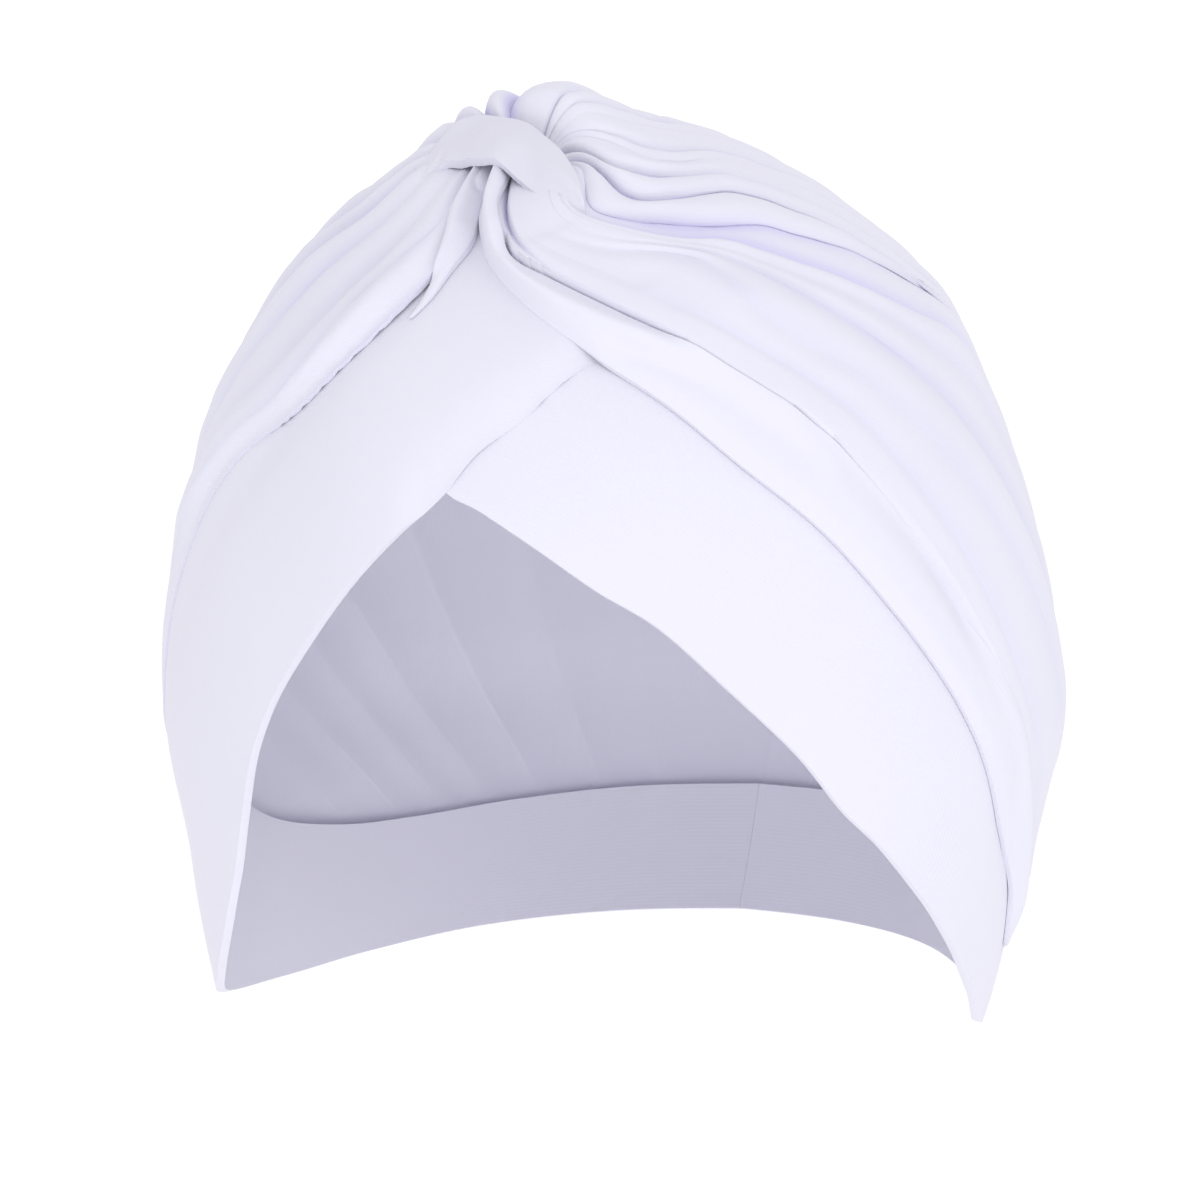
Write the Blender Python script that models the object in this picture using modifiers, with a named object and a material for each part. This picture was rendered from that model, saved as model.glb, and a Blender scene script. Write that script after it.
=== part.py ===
# Pleated turban hat, worn form, in metres. +Z is up, -Y is the front of the wearer's head and
# +X the wearer's left. The origin is the inside of the hat at the top of the head.
import math
from collections import namedtuple

import bmesh
import bpy
from mathutils import Vector

MM = 0.001

# The head that the hat is shaped over, in millimetres, measured from a point level with the ears.
HALF_WIDTH = 84.0
FRONT_DEPTH = 90.0
BACK_DEPTH = 96.0
TOP_HEIGHT = 111.0
LOW_DEPTH = 140.0
NAPE_TUCK = 0.90
JAW_TAPER = 0.05

# Cloth, in millimetres.
BAND_WALL = 1.8
CROWN_WALL = 1.5
FOLD_WALL = 1.5
WRAP_WALL = 2.0
PLY_GAP = 0.3
BAND_OVER_BAND = BAND_WALL + 0.5
CROWN_REST = 0.6
CROWN_OVER_BAND = BAND_WALL + 0.7
CROWN_OVER_CROSSING = BAND_OVER_BAND + BAND_WALL + 0.6
HEM_EASE = 0.65
KNOT_RISE = 3.2
ROLL_RISE = 5.2
ROLL_SPREAD = 0.30

# Faces along and across each piece.
BAND_ALONG, BAND_ACROSS = 44, 5
FOLD_ALONG, FOLD_ACROSS = 40, 5
TUCK_ALONG, TUCK_ACROSS = 10, 3
WRAP_ALONG, WRAP_ACROSS = 16, 9
COLUMNS_PER_PLEAT = 4

CLOTH_COLOUR = (0.80, 0.80, 0.91, 1.0)

# A section across a strip of cloth. Plans are degrees round the head from the front, positive
# towards the wearer's left; heights are millimetres above the ears. Low is the edge nearer the
# face or the neck, high the edge nearer the top of the head.
Section = namedtuple("Section", "low_plan low_height high_plan high_height")

# From its hidden end beneath the front fold, over the V at the forehead, to the back seam.
OVER_BAND = (
    Section(25, 75, 20, 88),
    Section(20, 71, 12, 92),
    Section(14, 66, 5, 95),
    Section(9, 60, -3, 96),
    Section(3, 54, -10, 96),
    Section(-1, 47, -17, 93),
    Section(-6, 40, -24, 86),
    Section(-12, 31, -31, 77),
    Section(-18, 21, -38, 68),
    Section(-24, 10, -45, 58),
    Section(-29, -2, -52, 47),
    Section(-34, -16, -60, 33),
    Section(-40, -30, -69, 15),
    Section(-48, -43, -78, -3),
    Section(-60, -53, -88, -18),
    Section(-78, -58, -100, -28),
    Section(-100, -59, -115, -32),
    Section(-120, -57, -129, -32),
    Section(-140, -54, -144, -30),
    Section(-160, -52, -161, -28),
    Section(-179.8, -51, -179.8, -27),
)

# From its hidden end beneath the other band, past the V, to the back seam.
UNDER_BAND = (
    Section(-13, 62, -9, 84),
    Section(-8, 58, 0, 85),
    Section(-4, 52, 6, 85),
    Section(-1, 47, 12, 84),
    Section(4, 44, 19, 82),
    Section(12, 37.5, 27, 79),
    Section(20, 30, 35, 73),
    Section(28, 23, 43, 66),
    Section(37, 11, 51, 56),
    Section(45, 0, 59, 43),
    Section(53, -12, 67, 29),
    Section(61, -20.5, 74, 13),
    Section(70, -31, 82, -4),
    Section(79, -42, 90, -18),
    Section(89, -53, 100, -28),
    Section(101, -61, 110, -33),
    Section(120, -58, 127, -33),
    Section(140, -54, 144, -31),
    Section(160, -52, 161, -28),
    Section(179.8, -51, 179.8, -27),
)

# The leading pleat, from beneath the knot wrap to the end below the wearer's left ear.
FRONT_FOLD = (
    Section(-11.5, 100.5, -7, 101),
    Section(-9.5, 97, -5, 97.5),
    Section(-7.6, 93.5, -3, 93.5),
    Section(-4.5, 89.5, 0, 90),
    Section(-1, 86, 4, 87),
    Section(8, 79.5, 13, 84),
    Section(20, 71, 20, 79),
    Section(30.5, 62, 33, 72.5),
    Section(40.5, 51, 45, 64.5),
    Section(50.5, 39.5, 55.5, 53),
    Section(60, 24.5, 65, 38),
    Section(69, 9, 73.5, 21),
    Section(77, -6, 82, 6),
    Section(85, -19, 89, -9),
    Section(94, -31, 96, -23),
    Section(100, -38.5, 99.5, -31.5),
)

# The short tuck beside it.
TUCK_FOLD = (
    Section(-19.2, 100.5, -14.5, 100),
    Section(-15, 95.5, -11.2, 95.3),
    Section(-13.9, 91.5, -9.0, 92),
    Section(-13, 87, -7.0, 89),
    Section(-12.7, 83, -8.7, 84.5),
    Section(-14, 77, -10.5, 78),
)

# A section across the crown, at one distance from the knot: its two edges, the middle of each
# side, and the angle of the top midline, in degrees from level with the front over the top.
Arch = namedtuple(
    "Arch", "right_plan right_height right_side_plan right_side_height middle "
    "left_side_plan left_side_height left_plan left_height")

CROWN = (
    Arch(-21, 101, -25, 102.3, 68.5, 11, 100.5, -7, 99),
    Arch(-14.3, 87, -45, 99, 79, 29, 98, 2.5, 86),
    Arch(-18.5, 73.5, -57, 91, 91, 48, 93, 20, 78),
    Arch(-30, 60, -68, 81, 104, 66, 86, 35, 71.5),
    Arch(-40, 48.5, -79, 70, 119, 82, 76, 49.5, 58.5),
    Arch(-48, 35, -90, 56, 135, 95, 61, 62.5, 38.5),
    Arch(-56, 17, -101, 39, 151, 106, 41, 73, 18),
    Arch(-69, -3, -113, 17, 168, 117, 17, 82.5, -3),
    Arch(-84, -24, -127, -9, 183.5, 128, -9, 91, -22),
    Arch(-104, -41, -142, -39, 195.5, 142, -39, 102, -39),
)
# Where the rows of faces lie, in arches from the knot.
CROWN_ROWS = (0, 0.2, 0.42, 0.66, 0.92, 1.2, 1.55, 1.95, 2.4, 2.9, 3.4, 3.95, 4.5, 5.1, 5.7, 6.35,
              7.0, 7.65, 8.35, 9.0)

# One row for each pleat of the crown, from its edge by the wearer's right ear over the top to
# its edge by the left ear. Width is relative, depth in millimetres, crest says where across
# the pleat its ridge stands, and the pleat is full between the arches start and finish.
Pleat = namedtuple("Pleat", "width depth crest start finish")

PLEATS = (
    Pleat(1.30, 0.9, 0.40, 1.2, 5.0),
    Pleat(1.00, 1.9, 0.40, 0.8, 6.0),
    Pleat(0.80, 1.6, 0.40, 0.6, 4.5),
    Pleat(0.80, 2.3, 0.42, 0.6, 6.5),
    Pleat(0.75, 1.8, 0.42, 0.5, 5.0),
    Pleat(0.80, 2.4, 0.45, 0.5, 7.0),
    Pleat(0.85, 1.9, 0.45, 0.4, 5.5),
    Pleat(1.00, 2.5, 0.48, 0.3, 7.0),
    Pleat(1.10, 1.9, 0.50, 0.3, 6.0),
    Pleat(1.20, 2.6, 0.50, 0.2, 7.0),
    Pleat(1.10, 2.4, 0.50, 0.2, 6.0),
    Pleat(1.00, 2.5, 0.52, 0.3, 7.0),
    Pleat(0.80, 1.8, 0.55, 0.3, 5.0),
    Pleat(0.75, 2.3, 0.55, 0.4, 6.5),
    Pleat(0.80, 2.6, 0.58, 0.4, 6.0),
    Pleat(0.80, 1.7, 0.58, 0.5, 5.0),
    Pleat(0.90, 2.5, 0.60, 0.5, 6.5),
    Pleat(1.00, 1.8, 0.60, 0.6, 5.0),
    Pleat(1.30, 1.7, 0.60, 0.8, 5.5),
    Pleat(1.80, 0.9, 0.55, 1.0, 4.0),
)

# A section across the knot wrap: the front foot, the crest and the back foot, each with the
# distance in millimetres from the head to the inside of the cloth.
Wrap = namedtuple(
    "Wrap", "foot_plan foot_height foot_lift crest_plan crest_height crest_lift "
    "back_plan back_height back_lift")

KNOT_WRAP = (
    Wrap(-31, 95, 7.3, -36, 99, 8.5, -42, 101.8, 8.5),
    Wrap(-25, 96.2, 8.2, -30, 100.6, 9.9, -37, 103.6, 9.1),
    Wrap(-18, 97.2, 8.8, -22, 101.4, 11.4, -28, 104.4, 9.4),
    Wrap(-10, 97.5, 9.7, -12, 101.6, 11.8, -15, 104.0, 9.6),
    Wrap(-1, 97, 9.6, -2, 101.4, 11.8, 0, 103.8, 9.6),
    Wrap(7, 95.8, 8.8, 7, 99.6, 11.2, 10, 102.3, 9.3),
    Wrap(13, 94.3, 8.3, 13, 97.2, 10.4, 14.5, 99.6, 9.0),
    Wrap(16.8, 93.0, 7.8, 17, 94.3, 8.8, 17.8, 95.8, 8.2),
)


def easeStep(start, finish, value):
    share = min(max((value - start) / (finish - start), 0.0), 1.0)
    return share * share * (3 - 2 * share)


def throughPoints(before, first, second, after, share):
    """The smooth curve through four values, between the middle two."""
    square, cube = share * share, share ** 3
    return 0.5 * (2 * first + (second - before) * share
                  + (2 * before - 5 * first + 4 * second - after) * square
                  + (3 * first - before - 3 * second + after) * cube)


def smoothRow(rows, position):
    """Each column of a table at a position between its rows."""
    position = min(max(position, 0.0), len(rows) - 1.0)
    index = min(int(position), len(rows) - 2)
    first, second = rows[index], rows[index + 1]
    before = rows[index - 1] if index else [2 * a - b for a, b in zip(first, second)]
    after = rows[index + 2] if index + 2 < len(rows) else [2 * b - a for a, b in zip(first, second)]
    return type(rows[0])(*(throughPoints(*four, position - index)
                           for four in zip(before, first, second, after)))


def direction(plan, height):
    """The unit vector, on a head scaled to a ball, of a plan angle and a height."""
    rise = height / (TOP_HEIGHT if height > 0 else LOW_DEPTH)
    reach = math.sqrt(max(1 - rise * rise, 0.0))
    turn = math.radians(plan)
    return Vector((reach * math.sin(turn), -reach * math.cos(turn), rise))


def onHead(unit, lift):
    """The point a distance off the head along its normal, in metres from the origin."""
    unit = unit.normalized()
    depth = FRONT_DEPTH if unit.y < 0 else BACK_DEPTH * (1 - NAPE_TUCK * min(unit.z, 0) ** 2)
    tall = TOP_HEIGHT if unit.z > 0 else LOW_DEPTH
    width = HALF_WIDTH * (1 - JAW_TAPER * easeStep(0.0, -30.0, unit.z * tall))
    point = Vector((unit.x * width, unit.y * depth, unit.z * tall))
    normal = Vector((unit.x / HALF_WIDTH, unit.y / depth, unit.z / tall)).normalized()
    return (point + normal * lift - Vector((0, 0, TOP_HEIGHT + CROWN_REST))) * MM


def makeMaterial(name, roughness):
    material = bpy.data.materials.new(name)
    material.use_nodes = True
    shader = material.node_tree.nodes["Principled BSDF"]
    shader.inputs["Base Color"].default_value = CLOTH_COLOUR
    shader.inputs["Roughness"].default_value = roughness
    material.diffuse_color = CLOTH_COLOUR
    return material


def makeShell(name, points, wall, roughness, hat):
    """A closed cloth wall on a grid of points, which are its inside face."""
    bm = bmesh.new()
    grid = [[bm.verts.new(point) for point in row] for row in points]
    for row, following in zip(grid, grid[1:]):
        for a, b, c, d in zip(row, row[1:], following[1:], following):
            bm.faces.new((a, b, c, d))
    bmesh.ops.recalc_face_normals(bm, faces=bm.faces)
    middle = grid[len(grid) // 2][len(grid[0]) // 2]
    if middle.normal.dot(middle.co - Vector((0, 0, -TOP_HEIGHT * MM))) < 0:
        bmesh.ops.reverse_faces(bm, faces=bm.faces)
    mesh = bpy.data.meshes.new(name)
    bm.to_mesh(mesh)
    bm.free()
    piece = bpy.data.objects.new(name, mesh)
    hat.objects.link(piece)
    cloth = piece.modifiers.new("cloth wall", "SOLIDIFY")
    cloth.thickness = wall * MM
    cloth.offset = 1.0
    cloth.use_even_offset = False
    mesh.materials.append(makeMaterial(name, roughness))
    return piece


def evenPositions(rows, count):
    """Positions in a table of sections that lie at equal distances along its low edge."""
    fine = [(len(rows) - 1) * step / 400 for step in range(401)]
    walk = [0.0]
    for a, b in zip(fine, fine[1:]):
        first, second = smoothRow(rows, a), smoothRow(rows, b)
        low = onHead(direction(*first[:2]), 0) - onHead(direction(*second[:2]), 0)
        high = onHead(direction(*first[2:4]), 0) - onHead(direction(*second[2:4]), 0)
        walk.append(walk[-1] + low.length + high.length)
    found, place = [], 0
    for step in range(count + 1):
        target = walk[-1] * step / count
        while place < 399 and walk[place + 1] < target:
            place += 1
        share = (target - walk[place]) / max(walk[place + 1] - walk[place], 1e-12)
        found.append(fine[place] + share * (fine[place + 1] - fine[place]))
    return found


def stripPoints(rows, along, across, liftAt):
    """The inside face of a strip; liftAt gives its distance off the head in millimetres."""
    points = []
    for position in evenPositions(rows, along):
        section = smoothRow(rows, position)
        low = direction(section.low_plan, section.low_height)
        high = direction(section.high_plan, section.high_height)
        points.append([onHead(low.slerp(high, step / across), liftAt(position, step / across))
                       for step in range(across + 1)])
    return points


def overBandLift(position, share):
    return BAND_OVER_BAND * (1 - easeStep(6.5, 9.0, position))


def foldLift(position, share):
    crossing = 1 - easeStep(7.4, 9.4, position)
    low = CROWN_OVER_BAND + (CROWN_OVER_CROSSING - CROWN_OVER_BAND) * crossing
    high = low + CROWN_WALL + PLY_GAP + 0.55 + 0.2 * crossing
    knot = 0.3 * (1 - easeStep(0.0, 2.5, position))
    bulge = 0.5 * math.sin(math.pi * share)
    overHem = HEM_EASE * easeStep(11.6, 13.0, position)
    return low + (high - low) * easeStep(0.0, 0.45, share) + bulge + knot + overHem


def tuckLift(position, share):
    return CROWN_OVER_CROSSING + 0.6 * math.sin(math.pi * share) + 1.3 * (1 - easeStep(0, 2, position))


def makeOverBand(hat):
    points = stripPoints(OVER_BAND, BAND_ALONG, BAND_ACROSS, overBandLift)
    return makeShell("over_band", points, BAND_WALL, 0.85, hat)


def makeUnderBand(hat):
    points = stripPoints(UNDER_BAND, BAND_ALONG, BAND_ACROSS, lambda position, share: 0.0)
    return makeShell("under_band", points, BAND_WALL, 0.86, hat)


def makeFrontFold(hat):
    points = stripPoints(FRONT_FOLD, FOLD_ALONG, FOLD_ACROSS, foldLift)
    return makeShell("front_fold", points, FOLD_WALL, 0.84, hat)


def makeTuckFold(hat):
    points = stripPoints(TUCK_FOLD, TUCK_ALONG, TUCK_ACROSS, tuckLift)
    return makeShell("tuck_fold", points, FOLD_WALL, 0.83, hat)


def crownDirection(arch, across):
    """Across runs from -1 at the right edge over 0 on the midline to 1 at the left edge."""
    swing = math.radians(arch.middle)
    stops = (direction(arch.right_plan, arch.right_height),
             direction(arch.right_side_plan, arch.right_side_height),
             Vector((0, -math.cos(swing), math.sin(swing))),
             direction(arch.left_side_plan, arch.left_side_height),
             direction(arch.left_plan, arch.left_height))
    position = (across + 1) * 2
    index = min(int(position), 3)
    before = stops[index - 1] if index else 2 * stops[0] - stops[1]
    after = stops[index + 2] if index < 3 else 2 * stops[4] - stops[3]
    return throughPoints(before, stops[index], stops[index + 1], after, position - index).normalized()


def crownRest(across, position):
    """How far the inside of the crown lies off the head, without its pleats."""
    crossing = CROWN_OVER_CROSSING - CROWN_OVER_BAND
    edge = CROWN_OVER_BAND + crossing * (1 - easeStep(2.5, 3.5, position))
    overEdge = easeStep(0.60, 0.78, abs(across))
    overHem = easeStep(6.7, 7.6, position)
    rest = CROWN_REST + (edge - CROWN_REST) * max(overEdge, overHem)
    knot = KNOT_RISE * (1 - easeStep(0.2, 1.8, position)) * (1 - 0.9 * overEdge)
    roll = ROLL_RISE * math.exp(-(across / ROLL_SPREAD) ** 2)
    roll *= easeStep(0.1, 0.8, position) * (1 - easeStep(0.8, 2.0, position))
    return rest + knot + roll + HEM_EASE * overHem


def pleatHeight(pleat, share, position):
    """The height of a pleat above its creases; share runs across it from 0 to 1."""
    ramp = easeStep(pleat.start * 0.3, pleat.start + 0.6, position)
    fade = 1 - 0.75 * easeStep(pleat.finish, 9.2, position)
    if share < pleat.crest:
        slope = share / pleat.crest
    else:
        slope = (1 - share) / (1 - pleat.crest)
    return pleat.depth * ramp * fade * math.sin(0.5 * math.pi * slope)


def makeCrown(hat):
    total = sum(pleat.width for pleat in PLEATS)
    columns = []
    walked = 0.0
    for pleat in PLEATS:
        for step in range(COLUMNS_PER_PLEAT):
            share = step / COLUMNS_PER_PLEAT
            columns.append((2 * (walked + share * pleat.width) / total - 1, pleat, share))
        walked += pleat.width
    columns.append((1.0, PLEATS[-1], 1.0))
    points = []
    for position in CROWN_ROWS:
        arch = smoothRow(CROWN, position)
        points.append([onHead(crownDirection(arch, across),
                              crownRest(across, position)
                              + pleatHeight(pleat, share, position)
                              * (1 - 0.6 * easeStep(0.5, 0.8, abs(across)) * easeStep(1.5, 3, position)))
                       for across, pleat, share in columns])
    return makeShell("crown", points, CROWN_WALL, 0.87, hat)


def makeKnotWrap(hat):
    points = []
    for along in range(WRAP_ALONG + 1):
        wrap = smoothRow(KNOT_WRAP, (len(KNOT_WRAP) - 1) * along / WRAP_ALONG)
        line = [(direction(wrap.foot_plan, wrap.foot_height), wrap.foot_lift),
                (direction(wrap.crest_plan, wrap.crest_height), wrap.crest_lift),
                (direction(wrap.back_plan, wrap.back_height), wrap.back_lift)]
        row = []
        for step in range(WRAP_ACROSS + 1):
            position = 2 * step / WRAP_ACROSS
            index = min(int(position), 1)
            (first, low), (second, high) = line[index], line[index + 1]
            share = position - index
            eased = math.sin(0.5 * math.pi * share) if index == 0 else 1 - math.cos(0.5 * math.pi * share)
            row.append(onHead(first.slerp(second, share), low + (high - low) * eased))
        points.append(row)
    return makeShell("knot_wrap", points, WRAP_WALL, 0.82, hat)


for leftover in list(bpy.data.objects):
    bpy.data.objects.remove(leftover)

turbanHat = bpy.data.collections.new("turban_hat")
bpy.context.scene.collection.children.link(turbanHat)
makeUnderBand(turbanHat)
makeOverBand(turbanHat)
makeFrontFold(turbanHat)
makeTuckFold(turbanHat)
makeCrown(turbanHat)
makeKnotWrap(turbanHat)
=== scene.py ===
# Pleated turban hat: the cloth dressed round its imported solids. Metres, +Z up, -Y is the
# wearer's front, +X the wearer's left, and the origin is inside the crown at the top of the head.
import math

import bmesh
import bpy
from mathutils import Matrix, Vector, kdtree, noise
from mathutils.bvhtree import BVHTree


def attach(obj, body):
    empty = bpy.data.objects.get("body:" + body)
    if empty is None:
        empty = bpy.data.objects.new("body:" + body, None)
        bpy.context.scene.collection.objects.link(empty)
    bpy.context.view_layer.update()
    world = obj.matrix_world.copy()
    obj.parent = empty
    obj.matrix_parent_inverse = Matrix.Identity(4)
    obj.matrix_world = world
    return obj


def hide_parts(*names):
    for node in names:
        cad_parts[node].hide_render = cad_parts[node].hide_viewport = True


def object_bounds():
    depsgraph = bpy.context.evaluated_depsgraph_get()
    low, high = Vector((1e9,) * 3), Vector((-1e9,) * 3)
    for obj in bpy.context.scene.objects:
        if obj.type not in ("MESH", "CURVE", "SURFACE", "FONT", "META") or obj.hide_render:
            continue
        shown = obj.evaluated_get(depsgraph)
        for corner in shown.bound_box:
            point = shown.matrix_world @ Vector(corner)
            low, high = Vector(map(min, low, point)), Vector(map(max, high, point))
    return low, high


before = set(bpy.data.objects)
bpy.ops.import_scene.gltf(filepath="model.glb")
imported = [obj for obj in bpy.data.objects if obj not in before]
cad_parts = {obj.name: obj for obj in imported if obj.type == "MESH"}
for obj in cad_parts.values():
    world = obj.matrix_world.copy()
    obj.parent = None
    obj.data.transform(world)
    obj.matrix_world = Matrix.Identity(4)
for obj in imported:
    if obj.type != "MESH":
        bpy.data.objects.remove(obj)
cadBox = [list(corner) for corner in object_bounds()]
print("frame loaded")

mm = 0.001

# the head that the cloth lies over, in millimetres from a point level with the ears
head = {"halfWidth": 84.0, "frontDepth": 90.0, "backDepth": 96.0, "topHeight": 111.0,
        "lowDepth": 140.0, "napeTuck": 0.90, "jawTaper": 0.05, "crownRest": 0.6}

# how far each layer lies off the head, in millimetres
layers = {"overBand": 2.3, "edge": 2.5, "edgeCrossing": 4.7, "hem": 2.15}


def easeStep(start, finish, value):
    share = min(max((value - start) / (finish - start), 0.0), 1.0)
    return share * share * (3 - 2 * share)


def easeOff(span, value):
    # 1 before the span and 0 after it
    return 1 - easeStep(*span, value)


def swell(value, middle, wide):
    # a smooth bump, 1 at its middle
    return math.exp(-((value - middle) / wide) ** 2)


def throughPoints(before, first, second, after, share):
    # the curve that runs smoothly through four points, between the second and the third
    square, cube = share * share, share ** 3
    return 0.5 * (2 * first + (second - before) * share
                  + (2 * before - 5 * first + 4 * second - after) * square
                  + (3 * first - before - 3 * second + after) * cube)


def smoothRow(rows, position):
    # every column of a table at a place between its rows
    position = min(max(position, 0.0), len(rows) - 1.0)
    index = min(int(position), len(rows) - 2)
    first, second = rows[index], rows[index + 1]
    before = rows[index - 1] if index else [2 * a - b for a, b in zip(first, second)]
    after = rows[index + 2] if index + 2 < len(rows) else [2 * b - a for a, b in zip(first, second)]
    return [throughPoints(*four, position - index) for four in zip(before, first, second, after)]


def atStation(stations, values, position):
    # a value given at a few stations, eased between them
    if position <= stations[0]:
        return values[0]
    for i in range(len(stations) - 1):
        if position <= stations[i + 1]:
            share = (position - stations[i]) / (stations[i + 1] - stations[i])
            before = values[i - 1] if i else values[0]
            after = values[i + 2] if i + 2 < len(values) else values[-1]
            return throughPoints(before, values[i], values[i + 1], after, share)
    return values[-1]


def direction(plan, height):
    rise = height / (head["topHeight"] if height > 0 else head["lowDepth"])
    reach = math.sqrt(max(1 - rise * rise, 0.0))
    turn = math.radians(plan)
    return Vector((reach * math.sin(turn), -reach * math.cos(turn), rise))


def onHead(unit, lift):
    unit = unit.normalized()
    low = min(unit.z, 0)
    depth = head["frontDepth"] if unit.y < 0 else head["backDepth"] * (1 - head["napeTuck"] * low ** 2)
    tall = head["topHeight"] if unit.z > 0 else head["lowDepth"]
    width = head["halfWidth"] * (1 - head["jawTaper"] * easeStep(0.0, -30.0, unit.z * tall))
    point = Vector((unit.x * width, unit.y * depth, unit.z * tall))
    normal = Vector((unit.x / head["halfWidth"], unit.y / depth, unit.z / tall)).normalized()
    return (point + normal * lift - Vector((0, 0, head["topHeight"] + head["crownRest"]))) * mm


def liftMeasure(pieces):
    # gives how far the cloth already in place stands off the head, in millimetres
    trees = []
    for piece in pieces:
        bm = bmesh.new()
        bm.from_mesh(piece.data)
        trees.append(BVHTree.FromBMesh(bm))
        bm.free()

    def measure(unit):
        start, finish = onHead(unit, 30.0), onHead(unit, -4.0)
        reach = (finish - start).length
        hits = [tree.ray_cast(start, (finish - start) / reach, reach)[3] for tree in trees]
        return max([30.0 - hit / mm for hit in hits if hit is not None], default=0.0)

    return measure


def tautOver(rows, spread):
    # lifts that pass over the bumps beneath as a stretched cloth does
    def filtered(table, pick):
        return [[pick([table[r][c] for r in range(max(row - spread, 0), min(row + spread + 1, len(table)))])
                 for c in range(len(table[0]))] for row in range(len(table))]

    def turned(table):
        return [list(column) for column in zip(*table)]

    def mean(values):
        return sum(values) / len(values)

    for pick in (max, mean, mean):
        rows = turned(filtered(turned(filtered(rows, pick)), pick))
    return rows


def thickCloth(name, outer, inner, fold=None, rimWidth=0.5):
    # two grids, the outside and the inside of the cloth, joined round their edges
    rowCount, columnCount = len(outer), len(outer[0])
    bm = bmesh.new()
    bmesh.ops.create_grid(bm, x_segments=columnCount - 1, y_segments=rowCount - 1, size=1.0)
    bm.verts.ensure_lookup_table()
    uvLayer = bm.loops.layers.uv.new("clothGrain")
    foldLayer = bm.verts.layers.float.new("foldShadeDepth")
    rimLayer = bm.edges.layers.float.new("bevel_weight_edge")
    places = {}
    for vert in bm.verts:
        column = round((vert.co.x + 1) / 2 * (columnCount - 1))
        row = round((vert.co.y + 1) / 2 * (rowCount - 1))
        places[vert.index] = (row, column)
    grain = grainOf(outer)
    for face in bm.faces:
        for loop in face.loops:
            row, column = places[loop.vert.index]
            loop[uvLayer].uv = grain[row][column]
    copied = bmesh.ops.duplicate(bm, geom=bm.verts[:] + bm.edges[:] + bm.faces[:])
    # the map names each pair both ways round, and only the new points are wanted
    insideVerts = {}
    for old, new in copied["vert_map"].items():
        if old.index in places and isinstance(old, bmesh.types.BMVert) and old not in insideVerts:
            insideVerts[new] = places[old.index]
    outsideVerts = [vert for vert in bm.verts if vert not in insideVerts]
    for vert in outsideVerts:
        row, column = places[vert.index]
        vert.co = outer[row][column]
        # the crease depth kept on each point, which the material uses to paint shade into the creases
        vert[foldLayer] = fold[row][column] if fold else 0.0
    for vert, (row, column) in insideVerts.items():
        vert.co = inner[row][column]
    insideFaces = [face for face in bm.faces if face.verts[0] in insideVerts]
    bmesh.ops.reverse_faces(bm, faces=insideFaces)
    rim = [edge for edge in bm.edges if edge.is_boundary]
    for edge in rim:
        edge[rimLayer] = 1.0
    bmesh.ops.bridge_loops(bm, edges=rim)
    bmesh.ops.recalc_face_normals(bm, faces=bm.faces)
    for face in bm.faces:
        face.smooth = True
    mesh = bpy.data.meshes.new(name)
    bm.to_mesh(mesh)
    bm.free()
    piece = bpy.data.objects.new(name, mesh)
    bpy.context.scene.collection.objects.link(piece)
    if rimWidth:
        rounding = piece.modifiers.new("rounded rim", "BEVEL")
        rounding.limit_method = "WEIGHT"
        rounding.affect = "EDGES"
        rounding.width = rimWidth * mm
        rounding.segments = 3
        rounding.profile = 0.5
        rounding.material = -1
    area = sum(face.area for face in mesh.polygons) / 2
    print(name, "cloth area", round(area, 5), "faces", len(mesh.polygons))
    return piece


def grainOf(points):
    # distances along and across the cloth, so that the knit keeps its size everywhere
    rowCount, columnCount = len(points), len(points[0])
    middle = columnCount // 2
    grain = []
    walked = [0.0] * columnCount
    for row in range(rowCount):
        across = [0.0] * columnCount
        for column in range(middle + 1, columnCount):
            across[column] = across[column - 1] + (points[row][column] - points[row][column - 1]).length
        for column in range(middle - 1, -1, -1):
            across[column] = across[column + 1] - (points[row][column] - points[row][column + 1]).length
        if row:
            for column in range(columnCount):
                walked[column] += (points[row][column] - points[row - 1][column]).length
        along = sum(walked) / columnCount
        grain.append([(a, 0.5 * along + 0.5 * w) for a, w in zip(across, walked)])
    return grain


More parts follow.
